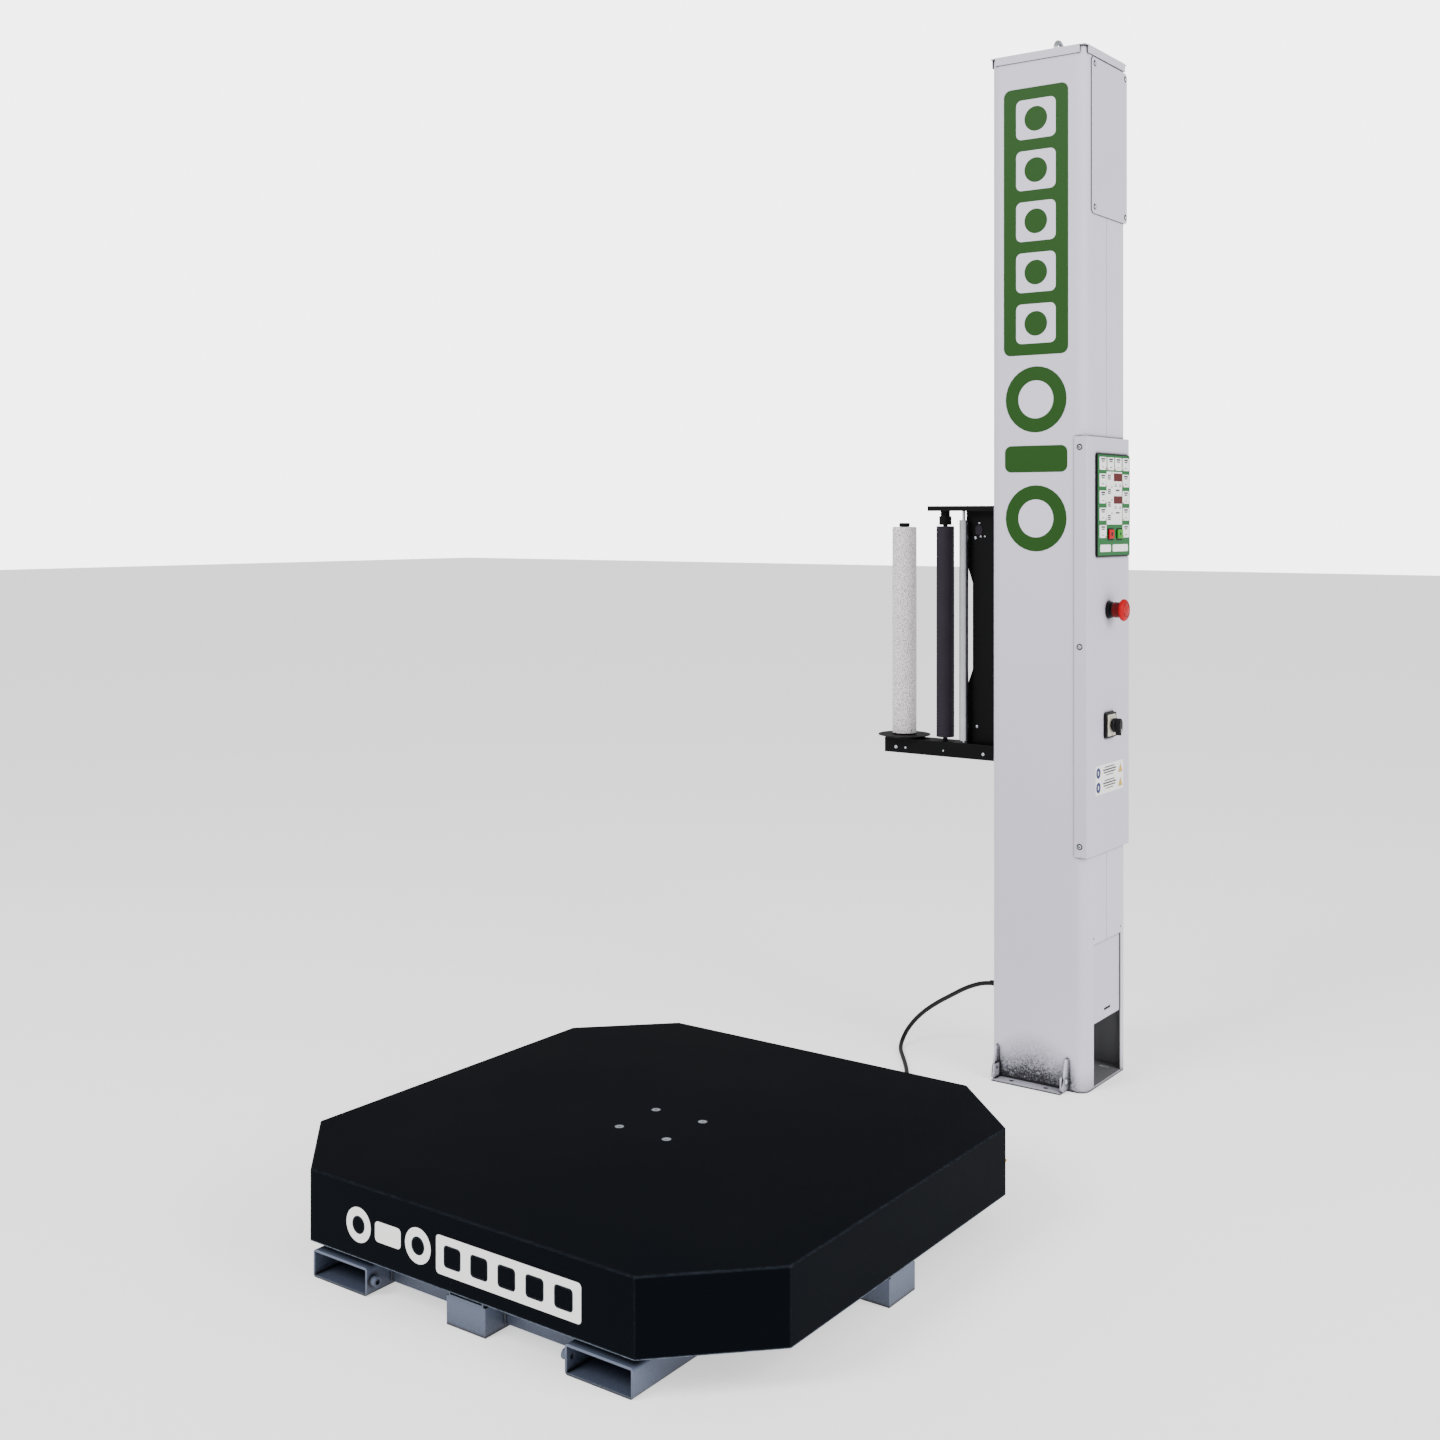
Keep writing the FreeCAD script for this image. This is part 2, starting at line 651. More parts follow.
def table_drive():
    """The gearmotor on its plate, and the small chain wheel on its shaft."""
    x, low = S.drive_x, FORK_TOP + 6
    gearbox = box("gearbox", (x - 55, x + 55), (DRIVE_Y - 55, DRIVE_Y + 55), (low, RING_BASE - 12))
    motor = rod("motor", "Y", (x, DRIVE_Y + 55, low + 48), 130, 46)
    fan = rod("fan_cover", "Y", (x, DRIVE_Y + 185, low + 48), 20, 43)
    shaft = rod("drive_shaft", "Z", (x, DRIVE_Y, low + 20), HUB_UNDER - low - 20, 10)
    node(joined("table_gearmotor", [gearbox, motor, fan, shaft]))
    bore = 10 + S.running_gap
    pinion = toothed("drive_sprocket", (x, DRIVE_Y), RING_BASE, S.pinion_radius, S.ring_thick, 18, bore)
    node(pinion)


def belt_loop(first, second, first_radius, second_radius):
    """The face inside a loop round two wheels: two arcs and their two outer tangents."""
    across = second - first
    lean = math.acos((first_radius - second_radius) / across.Length)
    heading = math.atan2(across.y, across.x)
    arcs = []
    for centre, radius, start, end in (
            (first, first_radius, heading + lean, heading - lean + 2 * math.pi),
            (second, second_radius, heading - lean, heading + lean)):
        arcs.append([centre + Vector(math.cos(angle), math.sin(angle), 0) * radius
                     for angle in (start, (start + end) / 2, end)])
    edges = [
        Part.Arc(*arcs[0]).toShape(), Part.makeLine(arcs[0][2], arcs[1][0]),
        Part.Arc(*arcs[1]).toShape(), Part.makeLine(arcs[1][2], arcs[0][0]),
    ]
    return Part.Face(Part.Wire(edges))


def belt_band(first, second, radii, thick, width):
    """A closed band of a given thickness round two wheels, standing on the XY plane."""
    inner = belt_loop(first, second, *radii)
    outer = belt_loop(first, second, *(radius + thick for radius in radii))
    upwards = Vector(0, 0, width)
    return outer.extrude(upwards).cut(inner.extrude(upwards))


def drive_chain():
    """The roller chain round the ring and the small wheel, drawn as one band."""
    gap = float(S.rest_gap)
    first = Vector(0, float(TABLE_Y), 0)
    second = Vector(float(S.drive_x), float(DRIVE_Y), 0)
    radii = (float(S.ring_radius) + gap, float(S.pinion_radius) + gap)
    band = belt_band(first, second, radii, float(S.chain_thick), float(S.ring_thick))
    return node(place(shaped("drive_chain", band), 0, 0, RING_BASE))


# ---- mast: column --------------------------------------------------------------------------------------

COLUMN_TOP = S.mast_height - S.cover_sheet
FOOT_OPENING_Y = (49 - MAST_HALF, MAST_HALF - 39)
FOOT_OPENING_TOP = 346
SERVICE_Z = (154, FOOT_OPENING_TOP + 30)
SERVICE_TAPS = [(y, FOOT_OPENING_TOP + 15) for y in FOOT_OPENING_Y]
UPPER_Y = (33 - MAST_HALF, MAST_HALF - 3)
UPPER_Z = (S.mast_height - 398, S.mast_height - 24)
UPPER_SCREWS = [(y, z) for z in (UPPER_Z[1] - 14, UPPER_Z[0] + 16)
                for y in (UPPER_Y[0] + 18, UPPER_Y[1] - 10)]
UPPER_WINDOW = (UPPER_Y[0] + 22, UPPER_Y[1] - 22, UPPER_Z[0] + 38, UPPER_Z[1] - 36)
CONTROL_Z = (S.control_low, S.control_high)
CONTROL_WINDOW = (45 - MAST_HALF, MAST_HALF - 45, CONTROL_Z[0] + 58, CONTROL_Z[1] - 66)
CONTROL_SCREW_Z = (CONTROL_Z[0] + 26, (CONTROL_Z[0] + CONTROL_Z[1]) / 2, CONTROL_Z[1] - 26)
CONTROL_SCREW_IN = 14


def column_half(name, side):
    """One folded half of the column: half of the control side, one flat side, half of the carriage side."""
    half, wall = MAST_HALF, S.mast_sheet
    seam = S.seam_gap / 2
    slot, lip = S.slot_half, S.slot_lip
    profile = [
        (half, seam), (half, half), (-half, half), (-half, slot), (lip - half, slot),
        (lip - half, slot + wall), (wall - half, slot + wall), (wall - half, half - wall),
        (half - wall, half - wall), (half - wall, seam),
    ]
    outline = [(MAST_X + x, MAST_Y + y * side) for x, y in profile]
    body = plate(name + "_fold", "XY", outline, S.base_thick, COLUMN_TOP - S.base_thick)
    y_out, y_in = float(MAST_Y + half * side), float(MAST_Y + (half - wall) * side)
    rounded(body, name + "_outer", lambda a, b: not same(a.z, b.z) and same(a.y, y_out), S.mast_corner)
    rounded(body, name + "_inner", lambda a, b: not same(a.z, b.z) and same(a.y, y_in), S.mast_corner - wall)
    windows = [(*FOOT_OPENING_Y, 0, FOOT_OPENING_TOP), UPPER_WINDOW, CONTROL_WINDOW]
    through = (FACE_X - 20, FACE_X + 10)
    tools = [box(f"{name}_window_{k}", through, (MAST_Y + y_low, MAST_Y + y_high), (z_low, z_high))
             for k, (y_low, y_high, z_low, z_high) in enumerate(windows)]
    taps = SERVICE_TAPS + UPPER_SCREWS
    tools += [rod(f"{name}_tap_{k}", "X", (FACE_X - 10, MAST_Y + y, z), 20, S.tap_radius)
              for k, (y, z) in enumerate(taps)]
    tools += [rod(f"{name}_side_tap_{k}", "Y", (FACE_X - CONTROL_SCREW_IN, MAST_Y - half - 5, z),
                  half * 2 + 10, S.tap_radius) for k, z in enumerate(CONTROL_SCREW_Z)]
    if side < 0:
        body = joined(name + "_with_lugs", [body] + mast_lugs())
    return node(cut(name, body, *tools))


CLOSER_THICK = 3
SUPPLY_DROP = 90


def slot_closer():
    """The short plate that closes the carriage slot at the foot, and carries the cable glands."""
    half = S.slot_half + 14
    outline = block_outline((MAST_Y - half, MAST_Y + half), (S.base_thick, S.gland_z + 40))
    holes = [(MAST_Y, S.gland_z, GLAND_THREAD), (MAST_Y, S.gland_z - SUPPLY_DROP, GLAND_THREAD)]
    return node(plate("foot_closer", "YZ", outline, MAST_X - MAST_HALF - CLOSER_THICK, CLOSER_THICK, holes))


def mast_base_plate():
    """The floor plate with four slotted anchor holes."""
    half = MAST_HALF
    outline = block_outline((MAST_X - half, MAST_X + half), (MAST_Y - half, MAST_Y + half))
    body = plate("base_blank", "XY", outline, 0, S.base_thick)
    rounded(body, "base_corners", lambda a, b: not same(a.z, b.z), S.mast_corner)
    slots = []
    run = S.anchor_length - S.anchor_width
    radius = S.anchor_width / 2
    for k, (x_side, y_side) in enumerate(((-1, -1), (1, -1), (1, 1), (-1, 1))):
        x = MAST_X + S.anchor_square / 2 * x_side
        y = MAST_Y + S.anchor_square / 2 * y_side
        ends = [rod(f"anchor_{k}_{end}", "Z", (x + run / 2 * end, y, -1), 20, radius) for end in (-1, 1)]
        middle = box(f"anchor_{k}_run", (x - run / 2, x + run / 2), (y - radius, y + radius), (-1, 19))
        slots.append(joined(f"anchor_{k}", ends + [middle]))
    return node(cut("mast_base_plate", body, *slots))


def service_plate():
    """The recessed plate behind the upper part of the foot opening, with its finger slot."""
    face = MAST_X + MAST_IN
    y = (MAST_Y + FOOT_OPENING_Y[0] - 14, MAST_Y + FOOT_OPENING_Y[1] + 12)
    body = plate("service_blank", "YZ", block_outline(y, SERVICE_Z), face - 2, 2)
    slot = box("service_slot", (face - 5, face + 5), (MAST_Y - 8, MAST_Y + 30), (173, 179))
    return node(cut("service_plate", body, slot))


def top_cap():
    """The cap: a plate with a turned-down lip on each side, open at the corners."""
    half = MAST_HALF
    sheet = S.cover_sheet
    gap = 14
    x, y = MAST_X, MAST_Y
    top = box("cap_top", (x - half, x + half), (y - half, y + half), (COLUMN_TOP, S.mast_height))
    lip_z = (S.mast_height - S.cap_lip, S.mast_height)
    items = [top]
    for k, (low, high) in enumerate(((-half - sheet, -half), (half, half + sheet))):
        items.append(box(f"cap_lip_x{k}", (x + low, x + high), (y - half + gap, y + half - gap), lip_z))
        items.append(box(f"cap_lip_y{k}", (x - half + gap, x + half - gap), (y + low, y + high), lip_z))
    blank = joined("cap_blank", items)
    bores = [rod("eye_hole", "Z", (x, y, COLUMN_TOP - 1), 10, 6.2),
             rod("tension_hole", "Z", (TENSION_X, TENSION_Y, COLUMN_TOP - 1), 10, 5.2)]
    return node(cut("top_cap", blank, *bores))


TENSION_X = MAST_X - 40
TENSION_Y = MAST_Y - 15


def lifting_eye():
    """A forged ring on a collar, screwed through the cap."""
    top = S.mast_height
    collar = cone("eye_collar", "Z", (MAST_X, MAST_Y, top), 8, 15, 13)
    shank = rod("eye_shank", "Z", (MAST_X, MAST_Y, top - 24), 30, 6)
    nut = plate("eye_nut", "XY", hex_outline(MAST_X, MAST_Y, 19), top - 18, 10)
    ring = DOC.addObject("Part::Torus", "eye_ring")
    ring.Radius1 = 19
    ring.Radius2 = 5.5
    place(ring, MAST_X, MAST_Y, top + 30, TURNS["X"])
    return node(joined("lifting_eye", [collar, shank, nut, ring]))


def tension_bolt():
    """The hexagon bolt that tightens the lift chain's upper shaft."""
    top = S.mast_height
    head = plate("tension_head", "XY", hex_outline(TENSION_X, TENSION_Y, 16), top, 8)
    shank = rod("tension_shank", "Z", (TENSION_X, TENSION_Y, top - 42), 44, 5)
    return joined("tension_bolt", [head, shank])


# ---- mast: foot bracket --------------------------------------------------------------------------------

LUG_LEFT, LUG_RIGHT = MAST_X - 108, MAST_X + 77
LUG_THICK = 5
BRACKET_BOLT_Z = 28


def mast_lugs():
    """Two tapered lugs welded to the column's graphic side."""
    items = []
    for k, x in enumerate((LUG_LEFT, LUG_RIGHT)):
        outline = [(FACE_Y + 1, 6), (FACE_Y + 1, 78), (FACE_Y - 10, 78), (FACE_Y - 30, 14), (FACE_Y - 30, 6)]
        bolt_hole = (FACE_Y - 15, BRACKET_BOLT_Z, 4.2)
        items.append(plate(f"lug_{k}", "YZ", outline, x, LUG_THICK, holes=[bolt_hole]))
    return items


def floor_bracket():
    """The bent floor strip between the lugs, with a tab at each end and two anchor holes."""
    thick = 4
    low, high = LUG_LEFT + LUG_THICK, LUG_RIGHT
    y = (FACE_Y - 38, FACE_Y - 1)
    strip = plate("strip", "XY", block_outline((low, high), y), 0, thick,
                  holes=[(low + 45, FACE_Y - 20, 6), (high - 45, FACE_Y - 20, 6)])
    tabs = []
    for k, x in enumerate((low, high - thick)):
        outline = block_outline((FACE_Y - 30, FACE_Y - 1), (0, 38))
        tabs.append(plate(f"tab_{k}", "YZ", outline, x, thick, holes=[(FACE_Y - 15, BRACKET_BOLT_Z, 4.2)]))
    return node(joined("floor_bracket", [strip] + tabs))


# ---- mast: covers and fasteners ------------------------------------------------------------------------

FLANGE_REACH = 28
ESTOP_Z = S.estop_height
SWITCH_Z = S.switch_height
KEY_Z = S.key_height
STOP_Y, START_Y = -3, 50
KEYPAD_Y = (45 - MAST_HALF, MAST_HALF - 7)
KEYPAD_Z = (KEY_Z - 54, KEY_Z + 194)
KEYPAD_THICK = 5


def upper_cover():
    """The flat plate over the lift gearmotor's window."""
    outline = block_outline([MAST_Y + y for y in UPPER_Y], UPPER_Z)
    holes = [(MAST_Y + y, z, S.tap_radius) for y, z in UPPER_SCREWS]
    body = plate("upper_cover", "YZ", outline, FACE_X, S.cover_sheet, holes=holes)
    rounded(body, "upper_cover_corners", lambda a, b: not same(a.x, b.x) and same(a.y, b.y), 12)
    return node(body)


def control_cover():
    """The folded cover that wraps round the control side, with holes for what is mounted on it."""
    sheet = S.cover_sheet
    side = MAST_HALF + S.cover_sheet
    inner = side - sheet
    outer_x, inner_x = COVER_X, COVER_X - sheet
    back_x = FACE_X - FLANGE_REACH
    y = MAST_Y
    outline = [
        (outer_x, y - side), (outer_x, y + side), (back_x, y + side), (back_x, y + inner),
        (inner_x, y + inner), (inner_x, y - inner), (back_x, y - inner), (back_x, y - side),
    ]
    body = plate("control_fold", "XY", outline, CONTROL_Z[0], CONTROL_Z[1] - CONTROL_Z[0])
    rounded(body, "control_fold_outer", lambda a, b: not same(a.z, b.z) and same(a.x, outer_x), 4)
    start = inner_x - 5
    holes = [
        rod("estop_hole", "X", (start, y, ESTOP_Z), 20, 11.2),
        rod("switch_hole", "X", (start, y, SWITCH_Z), 20, 9),
        rod("stop_hole", "X", (start, y + STOP_Y, KEY_Z), 20, 9),
        rod("start_hole", "X", (start, y + START_Y, KEY_Z), 20, 9),
    ]
    for k, z in enumerate(CONTROL_SCREW_Z):
        holes.append(rod(f"control_screw_hole_{k}", "Y", (FACE_X - CONTROL_SCREW_IN, y - side - 5, z),
                         side * 2 + 10, S.tap_radius))
    return node(cut("control_cover", body, *holes))


def mast_screws():
    """Every button-head screw on the mast, and the two bracket bolts."""
    items = [tension_bolt()]
    radius, height = S.screw_radius, S.screw_head
    for k, (y, z) in enumerate(UPPER_SCREWS):
        seat = (FACE_X + S.cover_sheet, MAST_Y + y, z)
        items.append(screw(f"upper_screw_{k}", "X", seat, 1, radius, height, S.tap_radius, 8))
    side = MAST_HALF + S.cover_sheet
    for k, z in enumerate(CONTROL_SCREW_Z):
        for sign in (-1, 1):
            seat = (FACE_X - CONTROL_SCREW_IN, MAST_Y + side * sign, z)
            name = f"control_screw_{k}_{sign + 1}"
            items.append(screw(name, "Y", seat, sign, radius, height, S.tap_radius, 8))
    for k, (x, sign) in enumerate(((LUG_LEFT, -1), (LUG_RIGHT + LUG_THICK, 1))):
        seat = (x, FACE_Y - 15, BRACKET_BOLT_Z)
        items.append(screw(f"bracket_bolt_{k}", "X", seat, sign, 7, 5, 4, 14))
    return node(grouped("mast_screws", items))


# ---- mast: controls ------------------------------------------------------------------------------------

def control_box():
    """The electrical enclosure behind the control cover: a tray with the motor drive inside."""
    face = MAST_X + MAST_IN
    depth = 100
    y = (MAST_Y + CONTROL_WINDOW[0] - 12, MAST_Y + CONTROL_WINDOW[1] + 12)
    z = (CONTROL_WINDOW[2] - 15, CONTROL_WINDOW[3] + 15)
    outer = box("tray_outer", (face - depth, face), y, z)
    inner = box("tray_inner", (face - depth + 2, face + 1), (y[0] + 2, y[1] - 2), (z[0] + 2, z[1] - 2))
    inverter_z = (z[0] + 35, z[0] + 195)
    inverter = box("inverter", (face - depth + 2, face - 30), (MAST_Y - 45, MAST_Y + 45), inverter_z)
    return node(grouped("control_box", [cut("tray", outer, inner), inverter]))


def keypad():
    """The keypad's plate, with a hole for each of the two large keys."""
    outline = block_outline([MAST_Y + y for y in KEYPAD_Y], KEYPAD_Z)
    holes = [(MAST_Y + STOP_Y, KEY_Z, 8.5), (MAST_Y + START_Y, KEY_Z, 8.5)]
    body = plate("keypad", "YZ", outline, COVER_X, KEYPAD_THICK, holes=holes)
    rounded(body, "keypad_corners", lambda a, b: not same(a.x, b.x) and same(a.y, b.y), 5)
    return node(body)


def key_button(name, y):
    """A large oblong key whose stem runs in the keypad's hole."""
    cap_z = (KEY_Z - 11, KEY_Z + 11)
    front = COVER_X + KEYPAD_THICK + 2
    cap = box(name + "_cap", (front, front + 3), (MAST_Y + y - 15, MAST_Y + y + 15), cap_z)
    stem = rod(name + "_stem", "X", (COVER_X - 4, MAST_Y + y, KEY_Z), KEYPAD_THICK + 7, 8.4)
    return node(joined(name, [cap, stem]))


def emergency_stop():
    """The emergency stop: a fixed collar, a stem whose skirt slides over it, and a head that twists."""
    start = (COVER_X, MAST_Y, ESTOP_Z)
    collar = [(11.5, 0), (20, 0), (20, 8), (15, 8), (15, 16), (11.5, 16)]
    node(turned("estop_collar", "X", start, collar))
    stem = [
        (0, -22), (11, -22), (11, 23), (15.6, 23), (15.6, 14.5), (19, 14.5), (19, 32), (7, 32), (7, 38),
        (0, 38),
    ]
    node(turned("estop_stem", "X", start, stem))
    bore = 7 + S.running_gap
    head = [
        (bore, 32.3), (20, 32.3), (26, 35), (27, 39), (25.5, 43), (19, 46.5), (9, 48), (0, 48), (0, 38.3),
        (bore, 38.3),
    ]
    node(turned("estop_head", "X", start, head))


def main_switch():
    """The main switch: a square plate on the cover and the turning knob."""
    half = 30
    y, z = (MAST_Y - half, MAST_Y + half), (SWITCH_Z - half, SWITCH_Z + half)
    base = plate("switch_base", "YZ", block_outline(y, z), COVER_X, 7)
    rounded(base, "switch_base_corners", lambda a, b: not same(a.x, b.x) and same(a.y, b.y), 5)
    neck = rod("switch_neck", "X", (COVER_X - 30, MAST_Y, SWITCH_Z), 42, 8.5)
    node(joined("switch_plate", [base, neck]))
    front = COVER_X + 12 + S.rest_gap
    disc = rod("knob_disc", "X", (front, MAST_Y, SWITCH_Z), 7, 21)
    grip = box("knob_grip", (front, front + 20), (MAST_Y - 6, MAST_Y + 6), (SWITCH_Z - 24, SWITCH_Z + 20))
    node(joined("switch_knob", [disc, grip]))


# ---- mast: lift ----------------------------------------------------------------------------------------

RAIL_OUT = MAST_X - MAST_IN
RAIL_TIP = RAIL_OUT + S.rail_depth
RAIL_Z = (150, S.mast_height - 60)
CHAIN_X = RAIL_OUT + S.chain_in
TOP_SHAFT_Z = S.mast_height - 110
LOW_SHAFT_Z = 270
SHAFT_RADIUS = 9


def guide_rails():
    """Two upright rails on the inner face of the carriage side."""
    half = S.rail_thick / 2
    items = []
    for k, side in enumerate((-1, 1)):
        y = MAST_Y + S.rail_y * side
        items.append(box(f"rail_{k}", (RAIL_OUT, RAIL_TIP), (y - half, y + half), RAIL_Z))
    return node(grouped("guide_rails", items))


def lift_gearmotor():
    """The lift gearmotor behind the upper cover, with its shaft across the column."""
    gearbox = box("lift_gearbox", (CHAIN_X - 30, CHAIN_X + 40), (MAST_Y + 14, MAST_Y + 96),
                  (TOP_SHAFT_Z - 45, TOP_SHAFT_Z + 45))
    seat = box("lift_seat", (CHAIN_X - 10, CHAIN_X + 40), (MAST_Y + 96, MAST_Y + MAST_IN),
               (TOP_SHAFT_Z - 35, TOP_SHAFT_Z + 35))
    motor = rod("lift_motor", "X", (CHAIN_X + 40, MAST_Y + 55, TOP_SHAFT_Z), 120, 44)
    shaft = rod("lift_shaft", "Y", (CHAIN_X, MAST_Y - 14, TOP_SHAFT_Z), 40, SHAFT_RADIUS)
    return node(joined("lift_gearmotor", [gearbox, seat, motor, shaft]))


def lift_sprocket(name, z):
    """A chain wheel of the lift, turning about an axis across the column."""
    thick = 8
    bore = SHAFT_RADIUS + S.running_gap
    wheel = toothed(name, (CHAIN_X, MAST_Y - thick / 2), z, S.lift_pitch_radius, thick, 14, bore, "Y")
    return node(wheel)


def idler_axle():
    """The fixed axle of the lower chain wheel, from side to side of the column."""
    return node(rod("idler_axle", "Y", (CHAIN_X, MAST_Y - MAST_IN, LOW_SHAFT_Z), MAST_IN * 2, SHAFT_RADIUS))


def lift_chain():
    """The closed lift chain, drawn as one band."""
    radius = float(S.lift_pitch_radius) + float(S.rest_gap)
    high, low = Vector(0, float(TOP_SHAFT_Z), 0), Vector(0, LOW_SHAFT_Z, 0)
    item = shaped("lift_chain", belt_band(high, low, (radius, radius), 6, 8))
    return node(place(item, CHAIN_X, MAST_Y + 4, 0, Rotation(Vector(1, 0, 0), 90)))


# ---- carriage ------------------------------------------------------------------------------------------

TROLLEY_Z = (S.arm_bottom + 172, S.arm_bottom + 472)
TROLLEY_FRONT = RAIL_TIP + 10
CARRIAGE_TOP = S.arm_bottom + S.carriage_height
WEB_Y = (MAST_Y + 2, MAST_Y + 7)
WEB_TIP = MAST_X - 257
NOTCH_DEEP = 18
MANDREL_X = MAST_X + S.mandrel_x
BRAKE_X = MAST_X + S.brake_x
IDLE_X, IDLE_Y = MAST_X + S.idle_x, MAST_Y + S.idle_y
ARM_SCREWS = (MANDREL_X - 8, MANDREL_X + 20, BRAKE_X + 10, IDLE_X + 62)
ARM_SCREW_UP = 15
WEB_SCREWS = ((36, 40), (26, 78), (40, 74), (52, 74), (30, 560))
ROLLER_LOW, ROLLER_HIGH = ARM_TOP + 10, CARRIAGE_TOP - 48
SHOE_GAP = 0.3


def trolley():
    """The welded slide: a plate behind the rails, and two webs out through the slot to the front plate."""
    plate_x = (TROLLEY_FRONT, TROLLEY_FRONT + 6)
    back = box("trolley_plate", plate_x, (MAST_Y - 84, MAST_Y + 84), TROLLEY_Z)
    front_x = MAST_X - MAST_HALF - 6
    items = [back]
    for k, (low, high) in enumerate(((-30, -24), (24, 30))):
        y = (MAST_Y + low, MAST_Y + high)
        z = (TROLLEY_Z[0] + 10, TROLLEY_Z[1] - 10)
        items.append(box(f"trolley_web_{k}", (front_x, plate_x[0]), y, z))
    items.append(box("trolley_front", (front_x - 6, front_x), (MAST_Y - 34, MAST_Y + 34), TROLLEY_Z))
    return node(joined("trolley", items))


def slide_shoes():
    """Four nylon shoes that hold the rails' edges."""
    items = []
    low, high = TROLLEY_Z[0] + 10, TROLLEY_Z[1] - 70
    for k, (side, z) in enumerate(((-1, low), (1, low), (-1, high), (1, high))):
        y = MAST_Y + S.rail_y * side
        block = box(f"shoe_block_{k}", (TROLLEY_FRONT - 26, TROLLEY_FRONT), (y - 15, y + 15), (z, z + 60))
        reach = S.rail_thick / 2 + SHOE_GAP
        groove = box(f"shoe_groove_{k}", (TROLLEY_FRONT - 30, RAIL_TIP + SHOE_GAP), (y - reach, y + reach),
                     (z - 1, z + 61))
        items.append(cut(f"shoe_{k}", block, groove))
    return node(grouped("slide_shoes", items))


def carriage_back():
    """The carriage's upright: a web with a notch in its free edge and a flange against the slide."""
    root = MAST_X - MAST_HALF - 12
    z = (S.arm_bottom, CARRIAGE_TOP)
    notch_x = WEB_TIP + NOTCH_DEEP
    outline = [
        (root, z[0]), (root, z[1]), (WEB_TIP, z[1]), (WEB_TIP, z[1] - 140), (notch_x, z[1] - 194),
        (notch_x, z[0] + 226), (WEB_TIP, z[0] + 176), (WEB_TIP, z[0]),
    ]
    holes = [(WEB_TIP + x, z[1] - down, S.tap_radius) for x, down in WEB_SCREWS]
    web = plate("web", "XZ", outline, WEB_Y[0], WEB_Y[1] - WEB_Y[0], holes=holes)
    slot_y = (WEB_Y[0] - 5, WEB_Y[1] + 5)
    slot = box("web_slot", (WEB_TIP + 28, WEB_TIP + 44), slot_y, (z[1] - 62, z[1] - 50))
    flange = box("web_flange", (root - 5, root), (MAST_Y - 34, MAST_Y + 34), z)
    return node(joined("carriage_back", [cut("web_cut", web, slot), flange]))


def carriage_arm():
    """The lower arm: a channel open downwards that carries the mandrel and the rollers."""
    x = (MANDREL_X - 42, MAST_X - MAST_HALF - 17)
    half = S.arm_width / 2
    sheet = S.arm_sheet
    y = (MAST_Y - half, MAST_Y + half)
    outer = box("arm_outer", x, y, (S.arm_bottom, ARM_TOP))
    inner_z = (S.arm_bottom - 1, ARM_TOP - sheet)
    inner = box("arm_inner", (x[0] - 1, x[1] + 1), (y[0] + sheet, y[1] - sheet), inner_z)
    room = box("arm_web_room", (WEB_TIP - 0.01, x[1] + 1), WEB_Y, (S.arm_bottom - 1, ARM_TOP + 1))
    screw_z = S.arm_bottom + ARM_SCREW_UP
    taps = [rod(f"arm_tap_{k}", "Y", (screw_x, y[0] - 1, screw_z), sheet + 2, S.tap_radius)
            for k, screw_x in enumerate(ARM_SCREWS)]
    return node(cut("carriage_arm", outer, inner, room, *taps))


def carriage_top():
    """The thin top plate that holds the rollers' upper ends."""
    x = (BRAKE_X - 36, MAST_X - MAST_HALF - 12)
    half = S.arm_width / 2
    holes = [(BRAKE_X, MAST_Y, 8), (IDLE_X, IDLE_Y, 4)]
    outline = block_outline(x, (MAST_Y - half, MAST_Y + half))
    return node(plate("carriage_top", "XY", outline, CARRIAGE_TOP, 4, holes=holes))


def mandrel():
    """The fixed spindle on the arm, the turning mandrel and the disc that carries the film reel."""
    disc_base = ARM_TOP + S.rest_gap
    disc_top = disc_base + S.disc_thick
    tube_top = disc_top + S.mandrel_length
    height = tube_top + 8 - ARM_TOP
    spindle = [
        (0, 0), (12, 0), (12, height - 10), (14, height - 8), (14, height - 2), (12, height), (0, height),
    ]
    node(turned("mandrel_spindle", "Z", (MANDREL_X, MAST_Y, ARM_TOP), spindle))
    bore = 12 + S.running_gap
    rim = S.disc_radius
    disc_height = S.disc_thick + 6
    disc = [
        (bore, 0), (44, 0), (rim, 6), (rim, 8), (S.mandrel_radius, 8), (S.mandrel_radius, disc_height),
        (bore, disc_height),
    ]
    node(turned("mandrel_disc", "Z", (MANDREL_X, MAST_Y, disc_base), disc))
    low = disc_base + S.disc_thick + 6
    tube_height = tube_top - low - 2.6
    outer = S.mandrel_radius
    tube = [(bore, 0), (outer, 0), (outer, tube_height - 2), (outer - 2, tube_height), (bore, tube_height)]
    node(turned("mandrel_tube", "Z", (MANDREL_X, MAST_Y, low), tube))


def roller(name, x, y, radius, pin, low, high):
    """A roller with a turned pin at each end, from the arm to the top plate."""
    length = high - low
    pin_low = ARM_TOP + S.rest_gap - low
    pin_high = CARRIAGE_TOP - S.rest_gap - low
    profile = [(0, pin_low), (pin, pin_low), (pin, 0), (radius, 0), (radius, length), (pin, length),
               (pin, pin_high), (0, pin_high)]
    return node(turned(name, "Z", (x, y, low), profile))


def brake_hub():
    """The brake housing between the brake roller's pin and the top plate."""
    bore = 6 + S.running_gap
    base = ROLLER_HIGH + 3
    height = CARRIAGE_TOP - base
    profile = [(bore, 0), (16, 0), (16, height - 22), (12, height - 22), (12, height), (bore, height)]
    return node(turned("brake_hub", "Z", (BRAKE_X, MAST_Y, base), profile))


